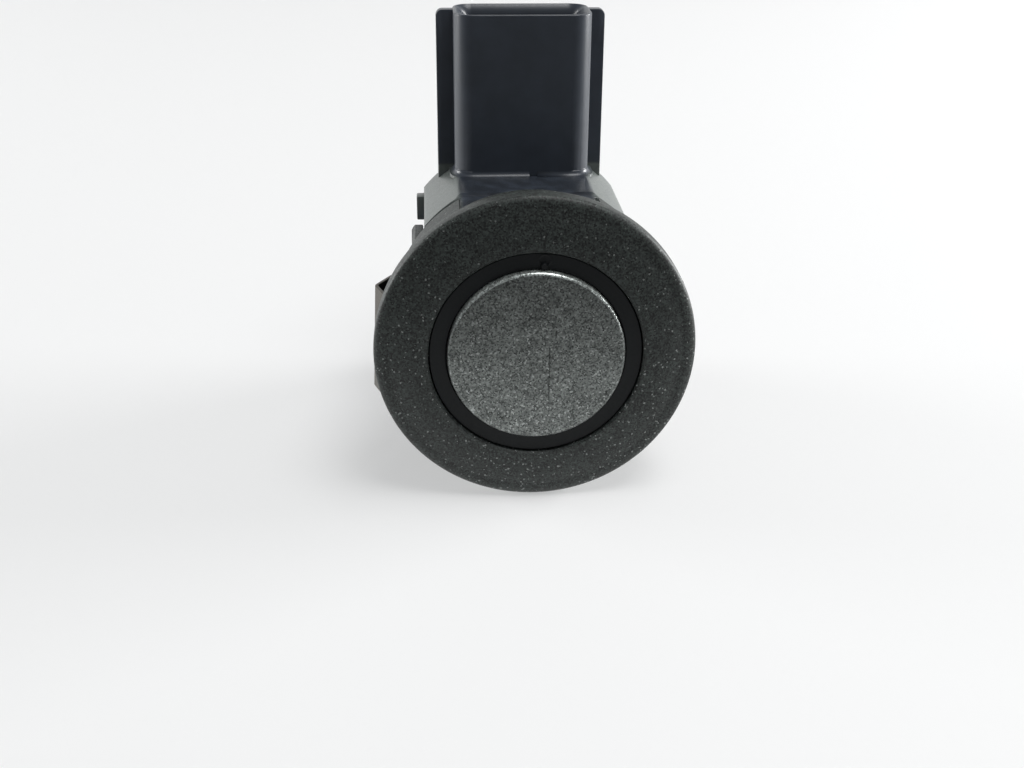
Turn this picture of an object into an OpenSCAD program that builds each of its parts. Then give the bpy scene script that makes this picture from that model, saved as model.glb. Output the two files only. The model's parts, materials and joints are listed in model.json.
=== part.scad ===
// Ultrasonic parking sensor with a painted bezel, side leaf springs and a top connector.
// Y runs along the sensor's axis and the face looks along -Y.
// The origin is on the axis, in the plane where the bezel's back seats on the bumper.
// Z points up through the connector and X points to the right of the face.

/* [Bezel] */
// Outer diameter of the painted bezel
bezel_d = 28; // [27:0.5:34]
// Depth of the bezel from its seat to the edge of its hole
bezel_t = 2.5; // [2.3:0.1:3.5]
// How far the domed face falls back from the hole to the rim
face_drop = 0.55; // [0.2:0.05:1]
// Rounding of the front of the rim
rim_round = 0.5; // [0.2:0.1:0.8]
// Thickness of the lip that holds the rubber ring and the housing
lip_t = 2; // [1.4:0.1:2.2]

/* [Membrane cup] */
// Diameter of the vibrating face
membrane_d = 15.4; // [14:0.2:16]
// Thickness of the vibrating face
membrane_t = 0.7; // [0.5:0.1:1.2]
// How far the face stands in front of the edge of the bezel's hole
membrane_proud = 0.3; // [0.1:0.05:0.5]
// Length of the cup along the axis
cup_len = 9; // [8:0.5:9.5]
// Wall of the cup
cup_wall = 1; // [0.8:0.1:1.4]
// Rounding of the edge of the vibrating face
cup_round = 0.25; // [0.1:0.05:0.4]

/* [Rubber ring] */
// Width of the rubber ring that shows around the face
ring_w = 1.4; // [1.2:0.1:1.7]
// How far the rubber lies behind the edge of the bezel's hole
ring_recess = 0.35; // [0.2:0.05:0.6]

/* [Barrel] */
// Diameter of the barrel that fills the hole in the bumper
barrel_d = 25; // [24.5:0.1:26]
// Length of the collar behind the seat
collar_len = 8.2; // [8:0.1:9]
// Wall of the collar
collar_wall = 1.9; // [1.7:0.1:2]
// Thickness of bumper that the springs are set for
panel_t = 3; // [2.5:0.1:3.2]

/* [Snap loops] */
// Length of each snap loop behind the collar
loop_len = 4.6; // [4:0.1:5]
// Height of each snap loop across the sensor
loop_h = 14.2; // [13:0.2:14.6]
// Thickness of a snap loop
loop_t = 1.1; // [0.9:0.1:1.3]
// Width of the strips that a snap loop is made of
loop_strip = 1.8; // [1.4:0.1:2]

/* [Leaf springs] */
// Height of the spring strip across the sensor
spring_w = 9.5; // [8:0.1:9.6]
// Thickness of the spring strip
spring_t = 0.3; // [0.2:0.05:0.4]
// How far the bend of a spring stands out from the barrel
spring_reach = 1.25; // [0.8:0.05:1.4]

/* [Housing] */
// Length of the housing behind the seat
housing_len = 23.2; // [22:0.2:26]
// Height of the flat that carries the connector above the axis
top_flat = 10.6; // [10.5:0.1:11.2]
// Depth of the flat underneath the axis
bottom_flat = 11.2; // [10.6:0.1:11.6]
// Distance of the side flats from the axis
side_flat = 10.1; // [10:0.1:10.6]
// Wall of the housing
housing_wall = 1.5; // [1.3:0.1:1.6]
// Rounding of the housing's rear edge
rear_round = 1.2; // [0.6:0.1:1.3]

/* [Connector] */
// Width of the connector shroud
conn_w = 12.9; // [12.5:0.1:14]
// Thickness of the connector shroud from front to rear
conn_t = 7; // [6.8:0.1:8]
// Height of the connector's mouth above the axis
conn_top = 25.6; // [24:0.2:30]
// Wall of the connector shroud
conn_wall = 1.15; // [1:0.05:1.2]
// Radius of the shroud's upright edges
conn_round = 1.8; // [1.3:0.1:2]
// Depth of the socket below the mouth
socket_depth = 12.2; // [10:0.2:12.4]
// How far each side rib stands out from the shroud
rib_out = 1.2; // [0.8:0.1:1.4]
// Thickness of a side rib
rib_t = 1.2; // [0.8:0.1:1.4]

/* [Terminals] */
// Distance between neighbouring terminals
pin_pitch = 2.4; // [2:0.1:2.6]
// Side of a terminal's square section
pin_size = 0.64; // [0.5:0.02:0.8]
// How far the terminals stop below the mouth
pin_drop = 4.5; // [4.3:0.1:6]

/* [Electronics] */
// Thickness of the circuit board
board_t = 1; // [0.8:0.1:1.2]
// Place of the circuit board's front on the way from the bulkhead to the middle of the connector
board_share = 0.56; // [0.54:0.01:0.6]
// Diameter of the transformer's core
core_d = 6.8; // [5:0.2:7]
// Diameter of the piezo disc
piezo_d = 6.4; // [5:0.2:7]
// Thickness of the piezo disc
piezo_t = 0.25; // [0.2:0.05:0.5]

/* [Hidden] */
$fn = 96;

// Small clearances and overruns
slip = 0.05;
loose = 0.15;
over = 1;
merge = 0.4;
arc_steps = 8;

// Bezel and collar
bezel_r = bezel_d / 2;
barrel_r = barrel_d / 2;
membrane_r = membrane_d / 2;
ring_gap = 0.1;
ring_in_r = membrane_r + ring_gap;
ring_out_r = ring_in_r + ring_w;
hole_r = ring_out_r + ring_gap;
hole_chamfer = 0.15;
seat_round = 0.2;
face_y = -bezel_t;
lip_y = face_y + lip_t;
rim_y = face_y + face_drop;
collar_in_r = barrel_r - collar_wall;
key_half = 6.2;
key_y = 5.3;

// Springs and their pockets
pocket_half = spring_w / 2 + 2 * loose;
pocket_share = 0.4;
pocket_x = collar_in_r + pocket_share * collar_wall;
pocket_y = panel_t;
pocket_out_x = barrel_r + spring_reach + loose;
foot_recess = 0.3;
spring_mid_t = spring_t / 2;
apex = [barrel_r + spring_reach - spring_mid_t, panel_t - 2 * spring_mid_t];
foot = [barrel_r + spring_t, spring_mid_t + slip];
knee = [pocket_x + spring_mid_t, collar_len - 4 * spring_t];
heel = [pocket_x + spring_mid_t, collar_len + spring_mid_t];
toe = [collar_in_r + spring_mid_t, collar_len + spring_mid_t];

// Housing
flange_gap = 0.5;
flange_y = collar_len + flange_gap;
housing_r = barrel_r - slip;
snout_r = collar_in_r - loose;
snout_wall = 1;
snout_in_r = snout_r - snout_wall;
snout_y = lip_y + slip;
bulkhead_y = 7;
bulkhead_share = 0.8;
bulkhead_rear_y = flange_y + bulkhead_share * housing_wall;
wire_bore_r = 4.5;
pad_step = 0.2;
pad_len = 1.4;
pad_y = flange_y + pad_len;
ledge = 0.6;
room_x = side_flat - housing_wall;
room_top = top_flat - housing_wall;
room_bottom = bottom_flat - housing_wall;
room_r = housing_r - housing_wall;

// Snap loops and the lugs that they catch
loop_y = collar_len + loop_len;
loop_share = 0.55;
loop_in_x = side_flat - loop_share * loop_t;
loop_out_x = loop_in_x + loop_t;
recess_x = loop_in_x - 2 * slip;
recess_half = loop_h / 2 + loose;
lug_half = loop_h / 2 - loop_strip - loop_strip / 2;
lug_rear_y = loop_y - loop_strip - slip;
lug_front_y = flange_y + 2 * loose;
lug_x = loop_out_x - loose;
corner_rib_t = 0.25;
corner_rib_h = 2.1;
corner_rib_len = 3;
corner_rib_end = 1.8;

// Connector
conn_y = housing_len - conn_t / 2;
conn_front_y = conn_y - conn_t / 2;
socket_z = conn_top - socket_depth;
socket_round = conn_round - conn_wall;
base_round = 0.6;
notch_x = 1.5;
notch_w = 0.9;
rib_y = housing_len - conn_t / 4;
rib_drop = 0.2;
rib_round = 0.9;
rib_half = conn_w / 2 + rib_out;
latch_w = 4.4;
latch_h = 3;
latch_out = 1;
latch_drop = 3.4;
latch_top = conn_top - latch_drop;

// Sensing pieces
ring_y = face_y + ring_recess;
membrane_y = face_y - membrane_proud;
cup_end_y = membrane_y + cup_len;
bead_out = 0.6;
bead_len = 1;
bore_r = membrane_r - cup_wall;
slot_share = 0.66;
slot_half = slot_share * bore_r;
slot_len = cup_len / 3;
floor_y = membrane_y + membrane_t;
step_y = floor_y + slot_len;
ring_rib_w = 0.5;
ring_rib_shares = [0.4, 0.75];
nub_r = 0.3;
nub_turn = 4;
nub_rise = 0.3;
absorber_len = 1.5;
wire_r = 0.22;
wire_x = piezo_d / 4;

// Board and what it carries
pin_shares = [-1.5, -0.5, 0.5, 1.5];
pin_top = conn_top - pin_drop;
pin_leg_z = 6.5;
pin_tail = 0.8;
pin_tip = 0.5;
board_y = bulkhead_rear_y + board_share * (conn_y - bulkhead_rear_y);
board_rear_y = board_y + board_t;
base_w = core_d + 2 * ring_gap;
base_t = 0.9;
core_gap = 0.5;
core_z = -4.9;
core_end_y = board_y - base_t;
core_len = core_end_y - bulkhead_rear_y - core_gap;
rim_share = 0.2;
core_rim = rim_share * core_len;
post_share = 0.44;
core_post_r = post_share * core_d / 2;
winding_share = 0.88;
winding_r = winding_share * core_d / 2;
chip = [6, 1.5, 4];
chip_z = 3.2;
chip_leg = [0.8, 0.6, 0.4];
chip_leg_pitch = 1;
chip_leg_shares = [-1.5, -0.5, 0.5, 1.5];
storage = [3, 2.5, 4.5];
storage_x = 5.7;
storage_z = -0.8;
ceramic = [2, 1.25, 1.25];
ceramic_pitch = 2.5;
ceramic_x = -5.8;
ceramic_shares = [-1, 0, 1];
resistor = [1.6, 0.5, 0.8];
resistor_pitch = 1.4;
resistor_x = 5.7;
resistor_z = 4.5;
resistor_shares = [-1, 0, 1];
potting_sink = 0.3;

// Finishes
paint = "#3c3f3e";
rubber = "#1b1e20";
moulding = "#26282b";
spring_steel = "#a9a391";
nickel = "#c9c6bd";

// Turns a shape that was made along Z, so that it runs along Y
module along_y() {
  rotate([-90, 0, 0]) children();
}

// A round bar on the sensor's axis between two stations
module bar(r, y0, y1) {
  along_y() translate([0, 0, y0]) cylinder(r = r, h = y1 - y0);
}

// A block between two corners
module block(low, high) {
  translate(low) cube(high - low);
}

// A rectangle with round corners, centred
module round_rect(w, t, r) {
  square([w - 2 * r, t], center = true);
  square([w, t - 2 * r], center = true);
  for (x = [-1, 1], y = [-1, 1]) translate([x * (w / 2 - r), y * (t / 2 - r)]) circle(r = r);
}

// Repeats what follows on both sides of the sensor
module both_sides() {
  children();
  mirror([1, 0, 0]) children();
}

// Points of a quarter round about a centre, from one angle to another
function arc(centre, r, from, to) = [
  for (i = [0 : arc_steps])
    centre + r * [cos(from + (to - from) * i / arc_steps), sin(from + (to - from) * i / arc_steps)]
];

// The domed face from the edge of the hole to the start of the rim's rounding
function dome(r0, r1, y0, drop) = [
  for (i = [1 : arc_steps]) [r0 + (r1 - r0) * i / arc_steps, y0 + drop * pow(i / arc_steps, 2)]
];

// The cross-section that all the rooms of the housing share, made smaller by an inset
module room(inset, y0, y1) {
  intersection() {
    bar(room_r - inset, y0, y1);
    block([-room_x + inset, y0, -room_bottom + inset], [room_x - inset, y1, room_top - inset]);
  }
}

module bezel_profile() {
  polygon(concat(
    [[hole_r, lip_y], [hole_r, face_y + hole_chamfer], [hole_r + hole_chamfer, face_y]],
    dome(hole_r + hole_chamfer, bezel_r - rim_round, face_y, face_drop),
    arc([bezel_r - rim_round, rim_y + rim_round], rim_round, -90, 0),
    [[bezel_r, -seat_round], [bezel_r - seat_round, 0], [barrel_r, 0], [barrel_r, collar_len]],
    [[collar_in_r, collar_len], [collar_in_r, lip_y]]
  ));
}

// A U-shaped loop behind the collar, whose cross strip snaps over a lug of the housing
module snap_loop() {
  difference() {
    intersection() {
      bar(barrel_r, collar_len - merge, loop_y);
      block([loop_in_x, 0, -loop_h / 2], [loop_out_x, loop_y, loop_h / 2]);
    }
    block(
      [loop_in_x - over, 0, -loop_h / 2 + loop_strip],
      [loop_out_x + over, loop_y - loop_strip, loop_h / 2 - loop_strip]
    );
  }
}

module spring_pocket() {
  block([pocket_x, pocket_y, -pocket_half], [pocket_out_x, collar_len + over, pocket_half]);
  block([barrel_r, -foot_recess, -pocket_half], [bezel_r + over, slip, pocket_half]);
}

module bezel_retainer() {
  color(paint) {
    difference() {
      along_y() rotate_extrude() bezel_profile();
      both_sides() spring_pocket();
      block([-key_half, key_y, 0], [key_half, collar_len + over, barrel_r + over]);
    }
    both_sides() snap_loop();
  }
}

// A point beside the spring's centre line, on its left for side 1 and its right for side -1, mitred at the bends
function beside(route, i, side) =
  let (
    before = route[max(i, 1)] - route[max(i, 1) - 1],
    after = route[min(i, len(route) - 2) + 1] - route[min(i, len(route) - 2)],
    n = [-before.y, before.x] / norm(before),
    m = [-after.y, after.x] / norm(after)
  ) route[i] + side * spring_mid_t * (n + m) / (1 + n * m);

module leaf_spring() {
  route = [foot, apex, knee, heel, toe];
  last = len(route) - 1;
  translate([0, 0, -spring_w / 2]) linear_extrude(spring_w) polygon(concat(
    [for (i = [0 : last]) beside(route, i, 1)],
    [for (i = [last : -1 : 0]) beside(route, i, -1)]
  ));
}

module spring_right() {
  color(spring_steel) leaf_spring();
}

module spring_left() {
  color(spring_steel) mirror([1, 0, 0]) leaf_spring();
}

// The round body with its rear edge rounded, cut by the four flats
module housing_body() {
  intersection() {
    along_y() rotate_extrude() polygon(concat(
      [[0, flange_y], [housing_r, flange_y]],
      arc([housing_r - rear_round, housing_len - rear_round], rear_round, 0, 90),
      [[0, housing_len]]
    ));
    block([-side_flat, flange_y, -bottom_flat], [side_flat, housing_len, top_flat]);
  }
}

// The front tube that carries the rubber ring, with the key that fits the collar's notch
module snout() {
  bar(snout_r, snout_y, flange_y + merge);
  block([-key_half + loose, key_y + loose, 0], [key_half - loose, flange_y + merge, top_flat - pad_step]);
}

module shroud() {
  translate([0, conn_y, room_top]) linear_extrude(conn_top - room_top) round_rect(conn_w, conn_t, conn_round);
}

// The hollow fillet where the front of the shroud stands on the flat
module shroud_foot() {
  corner_x = conn_w / 2 - conn_round;
  intersection() {
    union() {
      translate([-corner_x, conn_front_y, top_flat]) rotate([90, 0, 90]) linear_extrude(2 * corner_x)
        difference() {
          translate([-base_round, -merge]) square([base_round + merge, base_round + merge]);
          translate([-base_round, base_round]) circle(r = base_round);
        }
      for (x = [-corner_x, corner_x]) translate([x, conn_front_y + conn_round, top_flat])
        rotate_extrude() difference() {
          translate([0, -merge]) square([conn_round + base_round, base_round + merge]);
          translate([conn_round + base_round, base_round]) circle(r = base_round);
        }
    }
    block(
      [-conn_w / 2, conn_front_y - base_round, room_top],
      [conn_w / 2, conn_y, top_flat + base_round]
    );
  }
}

// A small notch that breaks the fillet
module foot_notch() {
  block(
    [notch_x - notch_w / 2, conn_front_y - base_round - over, top_flat],
    [notch_x + notch_w / 2, conn_front_y, top_flat + base_round + over]
  );
}

// One rib across the shroud gives the guide on each side of it
module side_ribs() {
  rib_top = conn_top - rib_drop;
  foot_z = room_top - merge;
  translate([0, rib_y + rib_t / 2, 0]) rotate([90, 0, 0]) linear_extrude(rib_t) {
    translate([-rib_half, foot_z]) square([2 * rib_half, rib_top - rib_round - foot_z]);
    translate([-rib_half + rib_round, foot_z]) square([2 * (rib_half - rib_round), rib_top - foot_z]);
    for (x = [-1, 1]) translate([x * (rib_half - rib_round), rib_top - rib_round]) circle(r = rib_round);
  }
}

// The ramp on the rear of the shroud that the plug's latch clicks over
module latch_ramp() {
  translate([-latch_w / 2, housing_len, latch_top]) rotate([90, 0, 90]) linear_extrude(latch_w)
    polygon([[-merge, 0], [0, 0], [latch_out, -latch_h + latch_out], [latch_out, -latch_h], [-merge, -latch_h]]);
}

module side_details() {
  translate([0, 0, -lug_half]) linear_extrude(2 * lug_half)
    polygon([
      [recess_x - merge, lug_front_y], [recess_x, lug_front_y], [lug_x, lug_rear_y], [recess_x - merge, lug_rear_y]
    ]);
  for (z = [-1, 1]) {
    rib_z = z * (sqrt(pow(housing_r, 2) - pow(side_flat, 2)) - corner_rib_h / 2);
    block(
      [side_flat - merge, housing_len - corner_rib_end - corner_rib_len, rib_z - corner_rib_h / 2],
      [side_flat + corner_rib_t, housing_len - corner_rib_end, rib_z + corner_rib_h / 2]
    );
  }
}

module housing() {
  color(moulding) difference() {
    union() {
      difference() {
        housing_body();
        both_sides() block(
          [recess_x, flange_y - over, -recess_half],
          [barrel_r + over, loop_y + 2 * loose, recess_half]
        );
        block([-barrel_r, flange_y - over, top_flat - pad_step], [barrel_r, pad_y, top_flat + over]);
      }
      snout();
      shroud();
      difference() {
        shroud_foot();
        foot_notch();
      }
      side_ribs();
      latch_ramp();
      both_sides() side_details();
    }
    bar(snout_in_r, snout_y - over, bulkhead_y);
    bar(wire_bore_r, bulkhead_y - over, bulkhead_rear_y + over);
    room(ledge, bulkhead_rear_y, board_y + slip);
    room(0, board_y, housing_len + over);
    translate([0, conn_y, socket_z]) linear_extrude(socket_depth + over)
      round_rect(conn_w - 2 * conn_wall, conn_t - 2 * conn_wall, socket_round);
    for (share = pin_shares) block(
      [share * pin_pitch - pin_size / 2 - slip / 2, conn_y - pin_size / 2 - slip / 2, 0],
      [share * pin_pitch + pin_size / 2 + slip / 2, conn_y + pin_size / 2 + slip / 2, conn_top]
    );
  }
}

module decoupling_ring() {
  ring_end_y = bulkhead_y - slip;
  color(rubber) {
    difference() {
      union() {
        bar(ring_out_r, ring_y, ring_end_y);
        bar(snout_in_r - slip, lip_y + 2 * slip, lip_y + 2 * slip + bead_len);
        for (share = ring_rib_shares)
          bar(snout_in_r - slip, share * ring_end_y, share * ring_end_y + ring_rib_w);
      }
      bar(ring_in_r, ring_y - over, ring_y + ring_recess);
      bar(membrane_r + slip, ring_y, cup_end_y);
      bar(membrane_r + bead_out + slip, cup_end_y - bead_len - slip, cup_end_y + slip);
      bar(membrane_r - 2 * slip, cup_end_y, bulkhead_y + over);
    }
    rotate([0, nub_turn, 0]) translate([0, ring_y - nub_rise, ring_in_r + nub_r]) along_y()
      cylinder(r = nub_r, h = nub_rise + merge);
  }
}

module membrane_cup() {
  color(paint) difference() {
    union() {
      along_y() rotate_extrude() polygon(concat(
        [[0, membrane_y]],
        arc([membrane_r - cup_round, membrane_y + cup_round], cup_round, -90, 0),
        [[membrane_r, cup_end_y], [0, cup_end_y]]
      ));
      bar(membrane_r + bead_out, cup_end_y - bead_len, cup_end_y);
    }
    bar(bore_r, step_y, cup_end_y + over);
    intersection() {
      bar(bore_r, floor_y, cup_end_y);
      block([-bore_r, floor_y, -slot_half], [bore_r, step_y + over, slot_half]);
    }
  }
}

module piezo_disc() {
  color(nickel) bar(piezo_d / 2, floor_y, floor_y + piezo_t);
}

// Foam that fills the bottom of the cup behind the piezo disc
module absorber_pad() {
  color("dimgray") difference() {
    union() {
      intersection() {
        bar(bore_r - slip, floor_y + piezo_t, step_y);
        block([-bore_r, floor_y, -slot_half + slip], [bore_r, step_y, slot_half - slip]);
      }
      bar(bore_r - slip, step_y, step_y + absorber_len);
    }
    for (x = [-wire_x, wire_x]) translate([x, 0, 0]) bar(wire_r + slip, membrane_y, cup_end_y);
  }
}

// Plug behind the cup that closes the bulkhead and guides both lead wires
module lead_holder() {
  color("ivory") difference() {
    union() {
      bar(membrane_r - 3 * slip, cup_end_y, bulkhead_y);
      bar(wire_bore_r - slip, bulkhead_y, bulkhead_rear_y);
    }
    for (x = [-wire_x, wire_x]) translate([x, 0, 0]) bar(wire_r + slip, membrane_y, board_y);
  }
}

module lead_wire(x) {
  translate([x, 0, 0]) bar(wire_r, floor_y + piezo_t, board_rear_y);
}

module lead_wire_left() {
  color("firebrick") lead_wire(-wire_x);
}

module lead_wire_right() {
  color("black") lead_wire(wire_x);
}

module circuit_board() {
  color("darkgreen") difference() {
    room(loose, board_y, board_rear_y);
    for (x = [-wire_x, wire_x]) translate([x, 0, 0]) bar(wire_r + slip, board_y - over, board_rear_y + over);
    for (share = pin_shares) block(
      [share * pin_pitch - pin_size / 2 - slip, board_y - over, pin_leg_z - pin_size / 2 - slip],
      [share * pin_pitch + pin_size / 2 + slip, board_rear_y + over, pin_leg_z + pin_size / 2 + slip]
    );
  }
}

// A block of the given size that is soldered to the front of the board
module on_board(x, z, size) {
  translate([x - size.x / 2, board_y - size.y, z - size.z / 2]) cube(size);
}

module transformer_base() {
  color("ivory") on_board(0, core_z, [base_w, base_t, base_w]);
}

module transformer_core() {
  color("#3a3a3c") translate([0, 0, core_z]) {
    bar(core_d / 2, core_end_y - core_rim, core_end_y);
    bar(core_post_r, core_end_y - core_len, core_end_y);
    bar(core_d / 2, core_end_y - core_len, core_end_y - core_len + core_rim);
  }
}

module transformer_winding() {
  color("#a85a2a") translate([0, 0, core_z]) difference() {
    bar(winding_r, core_end_y - core_len + core_rim, core_end_y - core_rim);
    bar(core_post_r + slip / 2, core_end_y - core_len, core_end_y);
  }
}

module control_chip() {
  color("#1e1e20") on_board(0, chip_z, chip);
  color(nickel) for (side = [-1, 1], share = chip_leg_shares)
    on_board(side * (chip.x + chip_leg.x) / 2, chip_z + share * chip_leg_pitch, chip_leg);
}

module storage_capacitor() {
  color("#c79a2e") on_board(storage_x, storage_z, storage);
}

module ceramic_capacitors() {
  color("#b08d5e") for (share = ceramic_shares) on_board(ceramic_x, share * ceramic_pitch, ceramic);
}

module chip_resistors() {
  color("#202022") for (share = resistor_shares)
    on_board(resistor_x, resistor_z + share * resistor_pitch, resistor);
}

// The room that one bent terminal takes, made larger by a clearance
module terminal_room(share, clear) {
  half = pin_size / 2 + clear;
  x = share * pin_pitch;
  block([x - half, conn_y - half, pin_leg_z - half], [x + half, conn_y + half, pin_top - pin_tip]);
  block([x - half, board_y - pin_tail, pin_leg_z - half], [x + half, conn_y + half, pin_leg_z + half]);
}

// A square terminal that runs down from the socket and bends forward into the board
module terminal(share) {
  half = pin_size / 2;
  color(nickel) {
    terminal_room(share, 0);
    translate([share * pin_pitch - half, conn_y, pin_top - pin_tip]) rotate([90, 0, 90]) linear_extrude(pin_size)
      polygon([[-half, 0], [half, 0], [half / 2, pin_tip], [-half / 2, pin_tip]]);
  }
}

module terminal_1() {
  terminal(pin_shares[0]);
}

module terminal_2() {
  terminal(pin_shares[1]);
}

module terminal_3() {
  terminal(pin_shares[2]);
}

module terminal_4() {
  terminal(pin_shares[3]);
}

// Compound poured over the board, set around the terminals and open to the rear
module potting() {
  color("#141516") difference() {
    room(slip, board_rear_y, housing_len - potting_sink);
    for (share = pin_shares) terminal_room(share, slip / 2);
    block([-conn_w / 2, conn_y - pin_size, room_top - slip], [conn_w / 2, conn_y + pin_size, conn_top]);
  }
}

bezel_retainer();
spring_left();
spring_right();
housing();
decoupling_ring();
membrane_cup();
piezo_disc();
absorber_pad();
lead_holder();
lead_wire_left();
lead_wire_right();
circuit_board();
transformer_base();
transformer_core();
transformer_winding();
control_chip();
storage_capacitor();
ceramic_capacitors();
chip_resistors();
terminal_1();
terminal_2();
terminal_3();
terminal_4();
potting();
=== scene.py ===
# %% [markdown]
# # An ultrasonic parking sensor
# The sensor fills a round hole in a car's bumper. What a driver sees is a domed, painted bezel with a rubber
# ring in it, and in the ring the flat face of a metal cup that hums at about 50 kHz. Behind the bumper sit a
# collar with two leaf springs, and a black housing whose connector stands up at the rear.
# The shape of every hard piece is already fixed by the CAD model, so this lesson starts by loading it. The
# pieces that catch the eye are then worked out again with numpy, finer than the CAD mesh, in the same places.

# %% Load the frame
import json
import math

import bmesh
import bpy
import numpy as np
from mathutils import Matrix


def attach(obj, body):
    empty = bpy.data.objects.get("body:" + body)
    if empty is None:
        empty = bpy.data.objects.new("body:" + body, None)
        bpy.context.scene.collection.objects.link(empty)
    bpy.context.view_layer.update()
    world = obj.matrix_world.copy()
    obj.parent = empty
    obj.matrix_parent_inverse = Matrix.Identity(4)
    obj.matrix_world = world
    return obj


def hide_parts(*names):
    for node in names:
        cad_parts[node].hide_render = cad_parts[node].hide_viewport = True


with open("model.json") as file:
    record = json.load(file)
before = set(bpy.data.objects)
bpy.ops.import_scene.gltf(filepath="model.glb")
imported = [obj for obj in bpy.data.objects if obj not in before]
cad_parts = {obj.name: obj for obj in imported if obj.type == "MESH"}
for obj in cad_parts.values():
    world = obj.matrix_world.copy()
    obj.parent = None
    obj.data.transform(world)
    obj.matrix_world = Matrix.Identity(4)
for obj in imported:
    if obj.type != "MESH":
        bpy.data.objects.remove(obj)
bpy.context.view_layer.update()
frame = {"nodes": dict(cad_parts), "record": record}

# %% [markdown]
# ## Units and colours
# Blender works in metres and the sensor is a few centimetres long, so every length here is written in
# millimetres and multiplied once. Colours are chosen as sRGB hex values, the way they look on a screen, while
# a shader wants linear light, so one function turns the one into the other.

# %% Units and colours
MM = 0.001


def linear(hex_colour):
    """Turns an sRGB hex colour into the linear RGBA a shader reads: the sRGB curve undone, channel by channel."""
    channels = np.array([int(hex_colour[i:i + 2], 16) for i in (1, 3, 5)]) / 255
    light = np.where(channels <= 0.04045, channels / 12.92, ((channels + 0.055) / 1.055) ** 2.4)
    return (*light.tolist(), 1.0)


print("mid grey #808080 is", round(linear("#808080")[0], 3), "in linear light")

# %% [markdown]
# ## Where the camera stood
# The face, the hole of the bezel and its rim are circles, so their ellipses in the photograph give the
# camera: it looked down on the sensor's axis by 23.6 degrees, from 4.9 degrees to the left, and was held with
# a tilt of 0.4 degrees. The widths of the same circles at different depths give its distance, about 112 mm,
# close up as for a phone.
# The face isn't in the middle of the picture. A camera that is turned a little to the side shows that, so the
# heading and the pitch are solved from the pixel at which the middle of the face appears.

# %% The camera
IMAGE_W, IMAGE_H = 1024, 768
FOCAL_PX = 1304
FACE_PIXEL = (536.6, 356.9)
FACE_POINT = np.array([0, -2.65, 0]) * MM
DISTANCE = 112 * MM
AZIMUTH, ELEVATION, ROLL = np.radians([-4.9, 23.6, 0.4])
SENSOR_MM = 36


def aim(pixel, azimuth, elevation, roll):
    """Pitch and heading of a camera that sees a point at this pixel, when the point lies down the line of sight
    given by azimuth and elevation. The pixel's ray is turned back by the roll, and then turned by the pitch
    until it falls by the elevation."""
    across, rise = pixel[0] - IMAGE_W / 2, IMAGE_H / 2 - pixel[1]
    ray = np.array([
        across * math.cos(roll) - rise * math.sin(roll), across * math.sin(roll) + rise * math.cos(roll), FOCAL_PX,
    ])
    right, up, ahead = ray / np.linalg.norm(ray)
    pitch = math.acos(-math.sin(elevation) / math.hypot(up, ahead)) - math.atan2(ahead, up)
    heading = -azimuth - math.atan2(right, ahead * math.cos(pitch) + up * math.sin(pitch))
    return pitch, heading


pitch, heading = aim(FACE_PIXEL, AZIMUTH, ELEVATION, ROLL)
away = np.array([
    math.sin(AZIMUTH) * math.cos(ELEVATION), -math.cos(AZIMUTH) * math.cos(ELEVATION), math.sin(ELEVATION),
])
turns = (
    Matrix.Rotation(-heading, 3, "Z"), Matrix.Rotation(math.pi / 2 - pitch, 3, "X"), Matrix.Rotation(ROLL, 3, "Z"),
)
lens = bpy.data.cameras.new("photo_camera")
lens.sensor_width = SENSOR_MM
lens.lens = FOCAL_PX / IMAGE_W * SENSOR_MM
lens.clip_start, lens.clip_end = 0.001, 20
camera = bpy.data.objects.new("photo_camera", lens)
camera.location = FACE_POINT + DISTANCE * away
camera.rotation_euler = (turns[0] @ turns[1] @ turns[2]).to_euler()
bpy.context.scene.collection.objects.link(camera)
bpy.context.scene.camera = camera
print("the camera looks down by", round(math.degrees(pitch), 2), "degrees, heading", round(math.degrees(heading), 2))

# %% [markdown]
# ## One helper for nodes
# A procedural material is a small tree of nodes. One function adds a node of any kind: it takes the node's
# settings by name, and for each input either a value or the output that feeds it. What stays the same all over
# a surface is set on the shader's own sockets.

# %% Helpers for finishes
finishes = {}


def add(tree, kind, inputs=(), **settings):
    """Adds one node: its settings, then for each input either a value or the output that feeds it."""
    node = tree.nodes.new(kind)
    for name, value in settings.items():
        setattr(node, name, value)
    for key, value in dict(inputs).items():
        if isinstance(value, bpy.types.NodeSocket):
            tree.links.new(value, node.inputs[key])
        else:
            node.inputs[key].default_value = value
    return node


def new_finish(name, **constants):
    """A material whose shader has its constant values set on its own sockets, with its tree and shader."""
    material = bpy.data.materials.new(name)
    material.use_nodes = True
    shader = material.node_tree.nodes["Principled BSDF"]
    for key, value in constants.items():
        shader.inputs[key.replace("_", " ")].default_value = value
    return material, material.node_tree, shader


# %% [markdown]
# ## Bumper paint with flakes
# The bezel is moulded plastic and the face is the bottom of a pressed metal cup, and both are sprayed with the
# same kind of paint as the bumper: a dark grey base with metal flakes. A flake is only about 0.03 mm wide. At
# this distance a pixel covers 0.09 mm, so the flakes are drawn a pixel and a half wide, 0.13 mm, or they would
# melt into one grey.
# A noise pattern could give speckles, but its spots run into each other. A Voronoi pattern has one random
# value for each cell, so each cell is one flake or none. The eye sees a fine grain, a few bright points and
# slow clouds where the spray lay thicker. Towards the bottom of the bezel more flakes are drawn bright, a
# painted highlight where the paint faces the lit table below.

# %% Flake paint
FLAKE_MM, CLOUD_MM, CLOUD_TONE = 0.13, 1.5, (0.8, 1.2)
PAINTED_SPARKLE_HALF_HEIGHT = 14
NOISE_LOW, NOISE_HIGH = 0.3, 0.7


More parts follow.
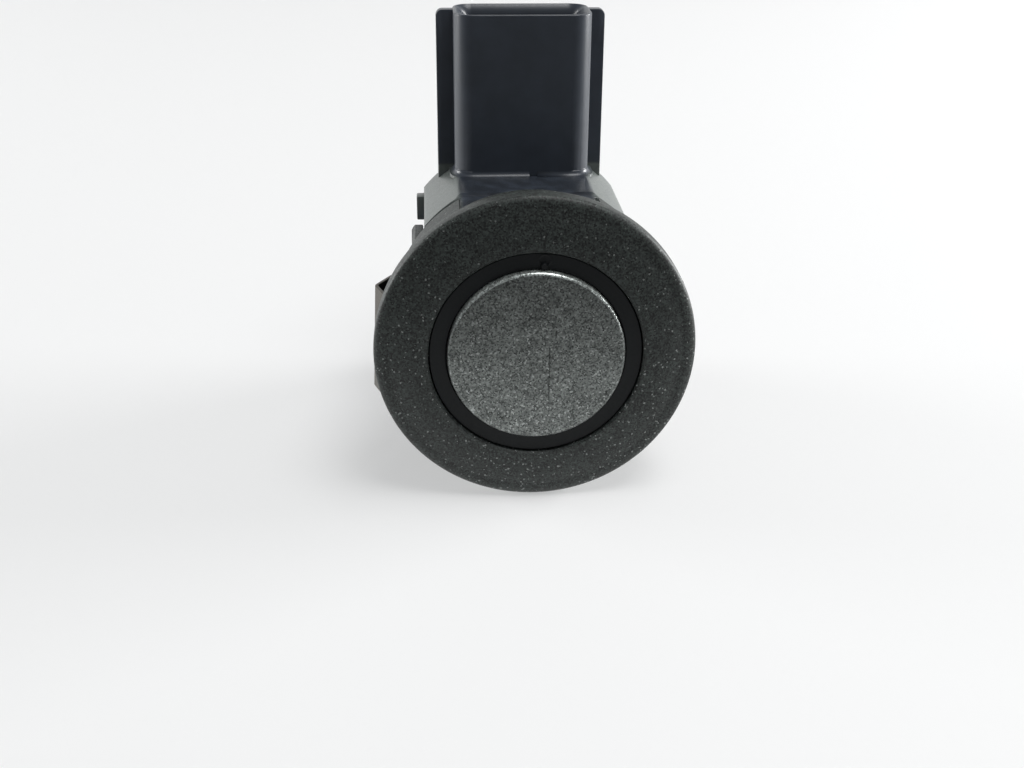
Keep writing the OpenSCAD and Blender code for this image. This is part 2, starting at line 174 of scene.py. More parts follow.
def speckles(tree, place, grain_mm, low, high):
    """One value per cell of a Voronoi pattern, spread evenly from low to high, and the cell's random colour."""
    cells = add(tree, "ShaderNodeTexVoronoi", {"Vector": place, "Scale": 1 / (grain_mm * MM)})
    tone = add(tree, "ShaderNodeSeparateColor", {"Color": cells.outputs["Color"]})
    spread = add(tree, "ShaderNodeMapRange", {"Value": tone.outputs["Green"], "To Min": low, "To Max": high})
    return spread.outputs[0], tone


def clouds(tree, place, size_mm, low, high):
    """A slow drift from low to high in patches of this size."""
    noise = add(tree, "ShaderNodeTexNoise", {"Vector": place, "Scale": 1 / (size_mm * MM), "Detail": 3.0})
    spread = add(tree, "ShaderNodeMapRange", {
        "Value": noise.outputs["Fac"], "From Min": NOISE_LOW, "From Max": NOISE_HIGH, "To Min": low, "To Max": high,
    })
    return spread.outputs[0]


def flake_paint(name, base, flake, grain, share, relief_mm, marks=None, **constants):
    """A base colour times its clouds and its grain, with flakes where a cell's random value is in the top share.
    The share falls to a quarter towards the top, a painted highlight that makes the paint sparkle more towards
    the bottom. The marks are a function that multiplies the base colour."""
    material, tree, shader = new_finish(name, **constants)
    place = add(tree, "ShaderNodeTexCoord").outputs["Object"]
    fine, tone = speckles(tree, place, FLAKE_MM, 1 - grain, 1 + grain)
    drift = clouds(tree, place, CLOUD_MM, *CLOUD_TONE)
    both = add(tree, "ShaderNodeMath", {0: fine, 1: drift}, operation="MULTIPLY").outputs[0]
    if marks:
        both = add(tree, "ShaderNodeMath", {0: both, 1: marks(tree, place)}, operation="MULTIPLY").outputs[0]
    ground = add(tree, "ShaderNodeVectorMath", {0: linear(base)[:3], "Scale": both}, operation="SCALE")
    height = add(tree, "ShaderNodeSeparateXYZ", {"Vector": place}).outputs["Z"]
    # painted highlight: the share of bright flakes grows from the top towards the bottom
    start = add(tree, "ShaderNodeMapRange", {
        "Value": height, "From Min": -PAINTED_SPARKLE_HALF_HEIGHT * MM, "From Max": PAINTED_SPARKLE_HALF_HEIGHT * MM,
        "To Min": 1 - share, "To Max": 1 - share / 4,
    })
    over = add(tree, "ShaderNodeMath", {0: tone.outputs["Red"], 1: start.outputs[0]}, operation="SUBTRACT")
    is_flake = add(tree, "ShaderNodeMapRange", {"Value": over.outputs[0], "From Min": 0.0, "From Max": share / 2})
    colour = add(tree, "ShaderNodeMix", {
        "Factor": is_flake.outputs[0], 6: ground.outputs[0], 7: linear(flake),
    }, data_type="RGBA")
    tree.links.new(colour.outputs[2], shader.inputs["Base Color"])
    peel = add(tree, "ShaderNodeTexNoise", {"Vector": place, "Scale": 1 / (2 * FLAKE_MM * MM), "Detail": 2.0})
    relief = add(tree, "ShaderNodeBump", {"Height": peel.outputs["Fac"], "Distance": relief_mm * MM})
    tree.links.new(relief.outputs[0], shader.inputs["Normal"])
    return material


finishes["bezel_paint"] = flake_paint(
    "flake_paint_on_plastic", "#2a2f2d", "#8a8e8c", 1.0, 0.04, 0.006, Metallic=0.15, Roughness=0.5,
)
print("a flake is drawn", FLAKE_MM, "mm wide")

# %% [markdown]
# ## The face's own marks and a painted highlight
# The face was touched up or rubbed: a hairline scratch runs down its middle, and two dark specks sit at its
# right. Both could be cut into the mesh, but they are finer than a pixel and have no depth that the eye can
# see, so they are drawn in the paint: a mark is dark where the distance to a short line, or to a point, is
# smaller than its half width. Round the upper edge, where the rounded edge faces the light from above, the
# paint is lighter, a painted highlight where the radius is larger than that of the flat.

# %% Paint of the face
SCRATCH = {"x": 1.1, "top": 1.4, "bottom": -4.3, "half_width": 0.045, "full": 0.7}
SPECKS, SPECK_Y = ((5.75, 2.4, 0.12), (4.45, 2.6, 0.1)), -2.8
# painted highlight on the face's upper edge: from which radius, between which heights, and how much lighter
CRESCENT_HIGHLIGHT_R, CRESCENT_HIGHLIGHT_Z, CRESCENT_HIGHLIGHT_TONE = (7.42, 7.48), (1.0, 5.0), 3.4
SCRATCH_TONE, SPECK_TONE = 0.45, 0.3


def face_marks_and_highlight(tree, place):
    """Multiplies the paint by 1, by less on the scratch and on the specks, and by more on the upper edge, a painted
    highlight where the edge faces the light from above. The scratch fades out over the last part of its half
    length."""
    axes = add(tree, "ShaderNodeSeparateXYZ", {"Vector": place})
    aside = add(tree, "ShaderNodeMath", {0: axes.outputs["X"], 1: SCRATCH["x"] * MM}, operation="SUBTRACT")
    aside = add(tree, "ShaderNodeMath", {0: aside.outputs[0]}, operation="ABSOLUTE").outputs[0]
    line = add(tree, "ShaderNodeMapRange", {
        "Value": aside, "From Min": SCRATCH["half_width"] * MM, "From Max": 2 * SCRATCH["half_width"] * MM,
        "To Min": SCRATCH_TONE, "To Max": 1.0,
    }).outputs[0]
    middle = (SCRATCH["top"] + SCRATCH["bottom"]) / 2 * MM
    along = add(tree, "ShaderNodeMath", {0: axes.outputs["Z"], 1: middle}, operation="SUBTRACT")
    along = add(tree, "ShaderNodeMath", {0: along.outputs[0]}, operation="ABSOLUTE").outputs[0]
    half = (SCRATCH["top"] - SCRATCH["bottom"]) / 2 * MM
    ends = add(tree, "ShaderNodeMapRange", {
        "Value": along, "From Min": half * SCRATCH["full"], "From Max": half,
    }).outputs[0]
    marks = add(tree, "ShaderNodeMath", {0: line, 1: ends}, operation="MAXIMUM").outputs[0]
    for x, z, radius in SPECKS:
        spot = (x * MM, SPECK_Y * MM, z * MM)
        apart = add(tree, "ShaderNodeVectorMath", {0: place, 1: spot}, operation="DISTANCE")
        speck = add(tree, "ShaderNodeMapRange", {
            "Value": apart.outputs["Value"], "From Min": radius * MM / 2, "From Max": radius * MM,
            "To Min": SPECK_TONE, "To Max": 1.0,
        }).outputs[0]
        marks = add(tree, "ShaderNodeMath", {0: marks, 1: speck}, operation="MULTIPLY").outputs[0]
    # painted highlight: lighter round the upper edge, where the rounded edge faces the light from above
    in_plane = add(tree, "ShaderNodeVectorMath", {0: place, 1: (1, 0, 1)}, operation="MULTIPLY")
    radius = add(tree, "ShaderNodeVectorMath", {0: in_plane.outputs[0]}, operation="LENGTH")
    highlight_by_height = add(tree, "ShaderNodeMapRange", {
        "Value": axes.outputs["Z"], "From Min": CRESCENT_HIGHLIGHT_Z[0] * MM, "From Max": CRESCENT_HIGHLIGHT_Z[1] * MM,
        "To Min": 1.0, "To Max": CRESCENT_HIGHLIGHT_TONE,
    })
    crescent_highlight = add(tree, "ShaderNodeMapRange", {
        "Value": radius.outputs["Value"], "From Min": CRESCENT_HIGHLIGHT_R[0] * MM, "From Max": CRESCENT_HIGHLIGHT_R[1] * MM,
        "To Min": 1.0, "To Max": highlight_by_height.outputs[0],
    })
    return add(tree, "ShaderNodeMath", {0: marks, 1: crescent_highlight.outputs[0]}, operation="MULTIPLY").outputs[0]


finishes["face_paint"] = flake_paint(
    "flake_paint_on_metal", "#6a6e6c", "#a9adab", 0.7, 0.12, 0.012, face_marks_and_highlight, Metallic=0.65, Roughness=0.28,
)
print("the scratch is", SCRATCH["top"] - SCRATCH["bottom"], "mm long")

# %% [markdown]
# ## Moulded and rolled skins
# The housing is nylon filled with glass, moulded in a polished tool that has been used for long, so it has a
# satin skin: dark, a little blue, with a broad soft shine and a faint mottle where the fill comes near the
# surface. The ring is silicone rubber, whose skin is matt and shows no grain at this distance. The springs are
# rolled strip. All of these are one colour that drifts by about a tenth, with a shine that varies from spot to
# spot and a relief of a few micrometres, so they share one function.
# The housing's two shoulders beside the shroud's foot are drawn a lighter grey, a painted sheen where they
# face the light, mottled by scuffs from handling, and the body below its top is darker in slow patches. Both
# could be one painted map, but masks by height and by the distance from the middle, times slow clouds, need
# no image and fit the form from all sides.

# %% Moulded and rolled skins
DRIFT_MM, DRIFT_TONE, SHINE_DRIFT = 2.5, (0.88, 1.12), 0.06
# where the shoulders get a painted sheen mottled by scuffs, and below which the body has darker patches
SHOULDER_X, SHOULDER_FOOT, BODY_TOP = (5.8, 6.4), (4.0, 7.0), (10.75, 10.45)
SHEEN_SCUFF_MM, SHEEN_SCUFF_SHARE, DARK_PATCH_MM, DARK_PATCH_TONE = 0.7, 0.7, 1.3, 0.25


def shoulder_sheen_and_scuffs(tree, place):
    """How much of the lighter tone shows, a painted sheen mottled by scuffs: clouds times a mask that rises to 1
    away from the middle, one that rises to 1 above the flanks, and one that is 1 below the top of the body."""
    axes = add(tree, "ShaderNodeSeparateXYZ", {"Vector": place})
    aside = add(tree, "ShaderNodeMath", {0: axes.outputs["X"]}, operation="ABSOLUTE").outputs[0]
    sheen_and_scuffs = clouds(tree, place, SHEEN_SCUFF_MM, SHEEN_SCUFF_SHARE, 1.0)
    height = axes.outputs["Z"]
    for value, (start, end) in ((aside, SHOULDER_X), (height, SHOULDER_FOOT), (height, BODY_TOP)):
        part = add(tree, "ShaderNodeMapRange", {"Value": value, "From Min": start * MM, "From Max": end * MM})
        sheen_and_scuffs = add(tree, "ShaderNodeMath", {0: sheen_and_scuffs, 1: part.outputs[0]}, operation="MULTIPLY").outputs[0]
    return sheen_and_scuffs


def body_dark_patches(tree, place):
    """Multiplies the colour by 1 on the shroud, and by less in slow patches on the body below it."""
    height = add(tree, "ShaderNodeSeparateXYZ", {"Vector": place}).outputs["Z"]
    # darker in slow patches everywhere below the top of the body
    patches = clouds(tree, place, DARK_PATCH_MM, DARK_PATCH_TONE, 1.0)
    clean = add(tree, "ShaderNodeMapRange", {
        "Value": height, "From Min": BODY_TOP[1] * MM, "From Max": BODY_TOP[0] * MM,
    }).outputs[0]
    return add(tree, "ShaderNodeMath", {0: patches, 1: clean}, operation="MAXIMUM").outputs[0]


def plain_skin(name, base, roughness, grain_mm=0.15, relief_mm=0.004, sheen_and_scuffs=None, **constants):
    """A moulded or rolled skin: the base colour times slow clouds, with the shine and relief of a finer noise.
    With a lighter tone it also has the housing's dark patches and the painted sheen and scuffs of its shoulders."""
    material, tree, shader = new_finish(name, **constants)
    place = add(tree, "ShaderNodeTexCoord").outputs["Object"]
    shade = clouds(tree, place, DRIFT_MM, *DRIFT_TONE)
    ground = add(tree, "ShaderNodeVectorMath", {0: linear(base)[:3], "Scale": shade}, operation="SCALE").outputs[0]
    if sheen_and_scuffs:
        dark_patches = body_dark_patches(tree, place)
        ground = add(tree, "ShaderNodeVectorMath", {0: ground, "Scale": dark_patches}, operation="SCALE").outputs[0]
        # the shoulders' painted sheen, mottled by scuffs
        share = shoulder_sheen_and_scuffs(tree, place)
        both = add(tree, "ShaderNodeMix", {"Factor": share, 6: ground, 7: linear(sheen_and_scuffs)}, data_type="RGBA")
        ground = both.outputs[2]
    tree.links.new(ground, shader.inputs["Base Color"])
    fine = add(tree, "ShaderNodeTexNoise", {"Vector": place, "Scale": 1 / (grain_mm * MM), "Detail": 3.0})
    gloss = add(tree, "ShaderNodeMapRange", {
        "Value": fine.outputs["Fac"], "From Min": NOISE_LOW, "From Max": NOISE_HIGH,
        "To Min": roughness - SHINE_DRIFT, "To Max": roughness + SHINE_DRIFT,
    })
    tree.links.new(gloss.outputs[0], shader.inputs["Roughness"])
    relief = add(tree, "ShaderNodeBump", {"Height": fine.outputs["Fac"], "Distance": relief_mm * MM})
    tree.links.new(relief.outputs[0], shader.inputs["Normal"])
    return material


finishes["silicone"] = plain_skin("matt_silicone_rubber", "#090e10", 0.55, Specular_IOR_Level=0.3)
# the lighter tone is a painted sheen on the shoulders, mottled by scuffs
finishes["black_moulding"] = plain_skin("satin_glass_filled_nylon", "#323841", 0.36, sheen_and_scuffs="#5c625f", IOR=1.55)
finishes["spring_steel"] = plain_skin("rolled_spring_strip", "#4d4a44", 0.4, Metallic=1.0)
print(len(finishes), "finishes that the photograph shows")

# %% [markdown]
# ## What is inside
# The pieces inside don't show, but the part is also looked at in section, so each gets the finish that it
# has in such sensors: silvered ceramic, foam, natural nylon, tinned and enamelled wire, green laminate, ground
# ferrite and moulded epoxy. They are the same kind of skin with other colours, shine and grain.

# %% Finishes of the inner pieces
finishes["piezo"] = plain_skin("silvered_ceramic", "#c9c8c2", 0.4)
finishes["foam"] = plain_skin("open_foam", "#3b3b3c", 0.9, 0.3, 0.08)
finishes["natural_moulding"] = plain_skin("natural_nylon", "#d8cfb8", 0.45)
finishes["tinned_wire"] = plain_skin("tinned_copper_wire", "#b7b4a9", 0.35, Metallic=1.0)
finishes["board"] = plain_skin("solder_masked_laminate", "#1f5230", 0.3)
finishes["ferrite"] = plain_skin("ground_ferrite", "#39393b", 0.55)
finishes["copper_wire"] = plain_skin("enamelled_copper_wire", "#b0602f", 0.3, Metallic=1.0)
finishes["chip_moulding"] = plain_skin("moulded_epoxy", "#202022", 0.6)
finishes["capacitor_moulding"] = plain_skin("tantalum_capacitor_epoxy", "#c79a2e", 0.5)
finishes["chip_ceramic"] = plain_skin("fired_ceramic", "#a08563", 0.5)
finishes["terminal_plating"] = plain_skin("tin_plated_brass", "#c4c1b6", 0.3, Metallic=1.0)
finishes["potting"] = plain_skin("poured_polyurethane", "#17181a", 0.25)

slots = {part["node"]: part["material_slot"] for part in frame["record"]["subparts"]}
for name, piece in frame["nodes"].items():
    piece.data.materials.clear()
    piece.data.materials.append(finishes[slots[name]])
print(len(finishes), "finishes on", len(slots), "CAD nodes")

# %% [markdown]
# ## From a grid of points to a piece
# Every new piece is a grid of points that some function of two parameters gives. Each cell of four
# neighbouring points is a face. Where the surface closes on itself, the last row or column joins the first,
# and where it ends in a point, a whole row lies on that point, so the doubles are merged afterwards and the
# normals are worked out again. Edges sharper than a given angle stay sharp in the shading.

# %% From a grid to a piece
WELD_MM = 0.002


def cells(rows, columns, wrap_rows=False, wrap_columns=True):
    """The four corners of each cell of a grid; a wrapped side goes back to the first row or column."""
    index = np.arange(rows * columns).reshape(rows, columns)
    if wrap_rows:
        index = np.vstack([index, index[:1]])
    if wrap_columns:
        index = np.hstack([index, index[:, :1]])
    return np.stack([index[:-1, :-1], index[:-1, 1:], index[1:, 1:], index[1:, :-1]], axis=-1).reshape(-1, 4)


def close_up(mesh, crease):
    """Merges doubles, drops faces with no area, turns all faces outwards and keeps sharp edges sharp."""
    shape = bmesh.new()
    shape.from_mesh(mesh)
    bmesh.ops.remove_doubles(shape, verts=shape.verts, dist=WELD_MM * MM)
    bmesh.ops.dissolve_degenerate(shape, edges=shape.edges, dist=WELD_MM * MM / 2)
    bmesh.ops.recalc_face_normals(shape, faces=shape.faces)
    open_edges = sum(not edge.is_manifold for edge in shape.edges)
    shape.to_mesh(mesh)
    shape.free()
    mesh.shade_smooth()
    mesh.set_sharp_from_angle(angle=math.radians(crease))
    return open_edges


def new_piece(name, points, wrap_rows=False, crease=40):
    """Puts a grid of points in millimetres into a mesh whose object sits at the origin."""
    rows, columns = points.shape[:2]
    mesh = bpy.data.meshes.new(name)
    mesh.from_pydata(points.reshape(-1, 3) * MM, [], cells(rows, columns, wrap_rows))
    open_edges = close_up(mesh, crease)
    piece = bpy.data.objects.new(name, mesh)
    bpy.context.scene.collection.objects.link(piece)
    print(name, "has", len(mesh.polygons), "faces and", open_edges, "open edges")
    return piece


def stand_in(piece, slot_name, node):
    """Gives a piece its finish, lets it ride on the sensor's one body and hides the CAD node it stands for."""
    piece.data.materials.clear()
    piece.data.materials.append(finishes[slot_name])
    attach(piece, "root")
    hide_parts(node)


def round_edges(piece, width_mm, angle=50):
    """Rounds every edge that is sharper than the angle, as a mould's or a press tool's edges are."""
    bevel = piece.modifiers.new("rounded_edges", "BEVEL")
    bevel.width, bevel.segments = width_mm * MM, 2
    bevel.limit_method, bevel.angle_limit = "ANGLE", math.radians(angle)
    bevel.harden_normals = True


# %% [markdown]
# ## The bezel and its collar
# On the real sensor the bezel, the collar and the snap loops are one moulding. It could be turned as a plain
# ring and the pockets cut with booleans, but booleans leave ragged meshes. Here one closed profile is carried
# round the axis, and the pockets are made by three caps. Behind a spring no point of the collar lies further
# out than the pocket's floor, the seat there is a little lower for the spring's foot, and in the notch on top
# no point lies further back than the notch's edge. The columns of the grid are doubled at the edges of the
# pockets and the notch, so their walls come out straight.

# %% The profile of the bezel and its collar
HOLE_R, BEZEL_R, BARREL_R, COLLAR_IN_R = 9.3, 14, 12.5, 10.6
FACE_Y, LIP_Y, DROP, COLLAR_Y = -2.5, -0.5, 0.55, 8.2
CHAMFER, RIM_ROUND, SEAT_ROUND = 0.15, (1.2, 0.6), 0.2
POCKET_HALF, POCKET_X, POCKET_Y, FOOT_RECESS = 5.05, 11.36, 3, 0.3
NOTCH_HALF, NOTCH_Y, BEZEL_EDGE = 6.3, 5.3, 0.1


def arc(centre, radius, start, end, steps):
    """Points of a circle about a centre from one angle to another, in degrees."""
    turn = np.radians(np.linspace(start, end, steps))
    return np.array(centre) + radius * np.stack([np.cos(turn), np.sin(turn)], axis=-1)


def bezel_rows():
    """Radius and depth of each row. The face falls back with the square of the way to the rim, and the rim is
    rounded by a quarter of an ellipse, wider than it is deep."""
    way = np.linspace(0, 1, 28)
    dome_end = BEZEL_R - RIM_ROUND[0]
    dome_start = HOLE_R + CHAMFER
    dome = np.stack([dome_start + (dome_end - dome_start) * way, FACE_Y + DROP * way ** 2], axis=-1)
    return np.vstack([
        [[HOLE_R, LIP_Y], [HOLE_R, FACE_Y + CHAMFER]], dome,
        arc((0, 1), 1, -90, 0, 12)[1:] * RIM_ROUND + (dome_end, FACE_Y + DROP),
        arc((BEZEL_R - SEAT_ROUND, -SEAT_ROUND), SEAT_ROUND, 0, 90, 5), [[BARREL_R, 0]],
        [[BARREL_R, POCKET_Y], [BARREL_R, POCKET_Y], [BARREL_R, COLLAR_Y]],
        [[COLLAR_IN_R, COLLAR_Y], [COLLAR_IN_R, LIP_Y]],
    ])


profile = bezel_rows()
print("the bezel's profile has", len(profile), "rows, the deepest at", profile[:, 1].max(), "mm")

# %% [markdown]
# ## Columns that know the pockets
# At each radius the edge of a pocket or of the notch lies at its own angle, so the columns are spaced evenly
# between those angles, row by row. A column belongs to the plain collar, zone 0, to the notch, zone 1, or to a
# pocket, zone 2.

# %% The grid of the bezel and its collar
COLUMNS = (44, 28, 40, 92, 40, 28)


def collar_angles(radius):
    """Angles from the top for one row, evenly spaced between two edges. The notch ends where radius times sine
    is its half width, a pocket where radius times cosine is its own."""
    notch = math.asin(NOTCH_HALF / radius)
    pocket = math.acos(POCKET_HALF / radius)
    edges = [-notch, notch, pocket, math.pi - pocket, math.pi + pocket, 2 * math.pi - pocket, 2 * math.pi - notch]
    return np.concatenate([np.linspace(a, b, n) for a, b, n in zip(edges, edges[1:], COLUMNS)])


angles = np.stack([collar_angles(radius) for radius in profile[:, 0]])
zones = np.repeat([1, 0, 2, 0, 2, 0], COLUMNS)[None, :]
x = profile[:, :1] * np.sin(angles)
z = profile[:, :1] * np.cos(angles)
y = np.broadcast_to(profile[:, 1:], x.shape)
row = np.arange(len(profile))[:, None]
pocket_start = len(profile) - 4
foot_rows = (profile[:, 0] >= BARREL_R) & (profile[:, 1] <= 0) & (profile[:, 1] >= -SEAT_ROUND - WELD_MM)
y = np.where(zones == 1, np.minimum(y, NOTCH_Y), y)
y = np.where((zones == 2) & foot_rows[:, None], np.minimum(y, -FOOT_RECESS), y)
x = np.where((zones == 2) & (row >= pocket_start), np.clip(x, -POCKET_X, POCKET_X), x)
bezel = new_piece("bezel_and_collar", np.stack([x, y, z], axis=-1), wrap_rows=True)
round_edges(bezel, BEZEL_EDGE)
stand_in(bezel, "bezel_paint", "bezel_retainer")

# %% [markdown]
# ## Sections carried along a path
# A snap loop and a leaf spring are both strips: one is moulded and one is bent. Each could be built from
# blocks, but a strip is better described by its section and by the way it runs. A path of a few corners gets
# rounded bends, and at each of its points the section stands square to it.

# %% Rounded paths and swept sections
def unit(vectors):
    """Each vector divided by its length."""
    return vectors / np.linalg.norm(vectors, axis=-1, keepdims=True)


def rounded_path(corners, reach, steps=7):
    """Straights joined by parabolas. Each leaves the one straight at the same distance from the corner c as it
    joins the next, at a and b, and its points are (1-t)(1-t)a + 2t(1-t)c + tt b."""
    corners = np.asarray(corners, dtype=float)
    corner = corners[1:-1]
    a = corner + reach * unit(corners[:-2] - corner)
    b = corner + reach * unit(corners[2:] - corner)
    t = np.linspace(0, 1, steps)[:, None, None]
    bends = (1 - t) ** 2 * a + 2 * t * (1 - t) * corner + t ** 2 * b
    return np.vstack([corners[:1], bends.transpose(1, 0, 2).reshape(-1, corners.shape[1]), corners[-1:]])


def rounded_box(width, height, radius, steps=5):
    """Outline of a rectangle with round corners: four quarter circles, each shifted to its corner."""
    turn = np.linspace(0, math.pi / 2, steps)[None, :] + np.arange(4)[:, None] * math.pi / 2
    corner = np.array([[1, 1], [-1, 1], [-1, -1], [1, -1]])[:, None, :]
    half = np.array([width / 2 - radius, height / 2 - radius])
    return (corner * half + radius * np.stack([np.cos(turn), np.sin(turn)], axis=-1)).reshape(-1, 2)


def closed_ends(tube):
    """Adds a row at each end that lies in the middle of the end's outline, so that the ends are closed."""
    ends = np.repeat(tube[[0, -1]].mean(axis=1, keepdims=True), tube.shape[1], axis=1)
    return np.concatenate([ends[:1], tube, ends[1:]])


def swept(path, section, across):
    """The section carried along a flat path. Its first measure goes along the path's normal and its second along
    the direction across, which is square to the path's plane. Each end closes on a point of the path."""
    across = np.asarray(across, dtype=float)
    normal = np.cross(across, unit(np.gradient(path, axis=0)))
    tube = path[:, None] + section[None, :, :1] * normal[:, None] + section[None, :, 1:] * across
    ends = np.repeat(path[[0, -1], None], len(section), axis=1)
    return np.concatenate([ends[:1], tube, ends[1:]])


print("a section of", len(rounded_box(1, 1, 0.1)), "points is carried along each path")

# %% [markdown]
# ## The snap loops
# Two U-shaped loops reach back from the collar and click over lugs on the housing. They are flat strips,
# 1.1 mm thick and 1.8 mm wide. One path runs along a loop's outer edge and one along its inner edge, and the
# strip lies between them, so both edges keep tight corners. Its outer corners follow the round of the barrel,
# so no point of them lies further out than the barrel does. Their ends reach 0.4 mm into the collar, as every
# member does that is joined to another.

# %% Snap loops
LOOP_X, LOOP_T, LOOP_STRIP, LOOP_HALF, LOOP_Y = 9.55, 1.1, 1.8, 7.1, 12.8
LOOP_ROUND, LOOP_EDGE, SUNK = 0.35, 0.1, 0.4


def loop_path(inset):
    """The U of the loop's outer edge moved inwards, with round corners."""
    half, rear = LOOP_HALF - inset, LOOP_Y - inset
    start = COLLAR_Y - SUNK
    corners = [[0, start, -half], [0, rear, -half], [0, rear, half], [0, start, half]]
    return rounded_path(corners, LOOP_ROUND)


outer, inner = loop_path(0), loop_path(LOOP_STRIP)
section = rounded_box(1, LOOP_T, LOOP_EDGE)
share = (section[:, :1] + 0.5)[None]
loop_points = outer[:, None] * (1 - share) + inner[:, None] * share
loop_points[..., 0] = LOOP_X + LOOP_T / 2 + section[:, 1]
loop_points = closed_ends(loop_points)
loop_points[..., 0] = np.minimum(loop_points[..., 0], np.sqrt(BARREL_R ** 2 - loop_points[..., 2] ** 2))
for side, name in ((-1, "snap_loop_left"), (1, "snap_loop_right")):
    stand_in(new_piece(name, loop_points * (side, 1, 1)), "bezel_paint", "bezel_retainer")

# %% [markdown]
# ## The leaf springs
# A spring is a strip of steel, 9.5 mm wide and 0.3 mm thick, bent in a press: it starts in the recess of the
# seat, slopes out to a bend that grips the edge of the bumper's hole, runs back into its pocket and hooks over
# the rear of the collar. The right one was pressed in when it was fitted and stands out less. The left one
# leans in its pocket by 2.6 degrees, about its upper edge.

# %% Leaf springs
SPRING_W, SPRING_T, SPRING_BEND, SPRING_EDGE = 9.5, 0.3, 0.35, 0.05
FOOT, KNEE, HEEL, TOE = (12.8, 0.2), (11.51, 7.0), (11.51, 8.35), (10.75, 8.35)
BEND_RIGHT, BEND_LEFT, BEND_Y, LEAN_LEFT = 13.3, 13.72, 2.7, math.radians(2.6)


def leaf_spring(bend_x, lean):
    """The strip's section carried from the foot over the bend to the toe, then turned about its upper edge."""
    corners = [(*point, 0) for point in (FOOT, (bend_x, BEND_Y), KNEE, HEEL, TOE)]
    strip = rounded_box(SPRING_T, SPRING_W, SPRING_EDGE)
    points = swept(rounded_path(corners, SPRING_BEND), strip, (0, 0, 1))
    hinge = np.array([BARREL_R, 0, SPRING_W / 2])
    return (points - hinge) @ np.array(Matrix.Rotation(-lean, 3, "Y").transposed()) + hinge


stand_in(new_piece("spring_strip_right", leaf_spring(BEND_RIGHT, 0)), "spring_steel", "spring_right")
left = leaf_spring(BEND_LEFT, LEAN_LEFT) * (-1, 1, 1)
stand_in(new_piece("spring_strip_left", left), "spring_steel", "spring_left")

# %% [markdown]
# ## Pieces turned on the axis
# The rubber ring and the metal cup are round, so each is a closed profile turned about the axis. The rubber has
# three ridges that seal it in the tube, and shows two small marks of its mould near the top: a nub at its inner
# edge, where the rubber was let in, and the faint ring that an ejector pin left. They are added to the turned
# surface as heights over its plane, by the distance of each point from the mark's middle.

# %% The rubber ring
RING_IN_R, RING_OUT_R, RING_Y, RING_EDGE, RING_SIDE_Y = 7.8, 9.2, -2.15, 0.06, -1.8
RIDGE_R, RIDGES = 9.4, ((-0.4, 0.6), (2.78, 3.28), (5.21, 5.71))
RING_INSIDE = [[9.2, 6.95], [7.6, 6.95], [7.6, 6.25], [8.35, 6.25], [8.35, 5.15], [7.75, 5.15], [7.75, RING_SIDE_Y]]
MARK_ANGLE = math.radians(4)
NUB = {"r": 8.1, "radius": 0.3, "rise": 0.3, "soft": 0.06}
PIN_MARK = {"r": 8.6, "radius": 0.5, "rise": 0.05, "half_width": 0.09}


def turned(rows, columns):
    """Each row's radius turned about the axis: x is r sin u, z is r cos u, and y stays."""
    turn = np.linspace(0, 2 * math.pi, columns, endpoint=False)
    radius, depth = rows[:, :1], np.repeat(rows[:, 1:], columns, axis=1)
    return np.stack([radius * np.sin(turn), depth, radius * np.cos(turn)], axis=-1)


def smooth_step(value):
    """0 below 0, 1 above 1, and 3vv - 2vvv between."""
    value = np.clip(value, 0, 1)
    return value * value * (3 - 2 * value)


def from_mark(points, radius):
    """Distance of each point from a mark at this radius, seen along the axis."""
    return np.hypot(
        points[..., 0] - radius * math.sin(MARK_ANGLE), points[..., 2] - radius * math.cos(MARK_ANGLE),
    )


front_r, front_y = np.linspace(RING_IN_R + RING_EDGE, RING_OUT_R - RING_EDGE, 36), RING_Y + RING_EDGE
ridges = [[[RING_OUT_R, start], [RIDGE_R, start], [RIDGE_R, end], [RING_OUT_R, end]] for start, end in RIDGES]
ring_rows = np.vstack([
    [[RING_IN_R, RING_SIDE_Y]], arc((front_r[0], front_y), RING_EDGE, 180, 270, 4)[:-1],
    [[radius, RING_Y] for radius in front_r], arc((front_r[-1], front_y), RING_EDGE, 270, 360, 4)[1:],
    *ridges, RING_INSIDE,
])
ring_points = turned(ring_rows, 720)
on_front = ring_points[..., 1] < RING_Y + WELD_MM
from_edge = NUB["radius"] + NUB["soft"] - from_mark(ring_points, NUB["r"])
nub = NUB["rise"] * smooth_step(from_edge / (2 * NUB["soft"]))
from_circle = np.abs(from_mark(ring_points, PIN_MARK["r"]) - PIN_MARK["radius"])
pin_mark = PIN_MARK["rise"] * smooth_step(1 - from_circle / PIN_MARK["half_width"])
ring_points[..., 1] -= np.where(on_front, np.maximum(nub, pin_mark), 0)
stand_in(new_piece("rubber_ring", ring_points, wrap_rows=True), "silicone", "decoupling_ring")

# %% [markdown]
# ## The cup
# The cup is impact-pressed from aluminium. Its bottom is the face, which stands 0.3 mm out of the bezel's
# hole, with an edge rounded by 0.3 mm that catches the light from above as a thin crescent. Inside, the
# room above the face is a slot, so that the face swings more to one side than to the other: there the turned
# wall is capped in height, as the collar was capped in its pockets.

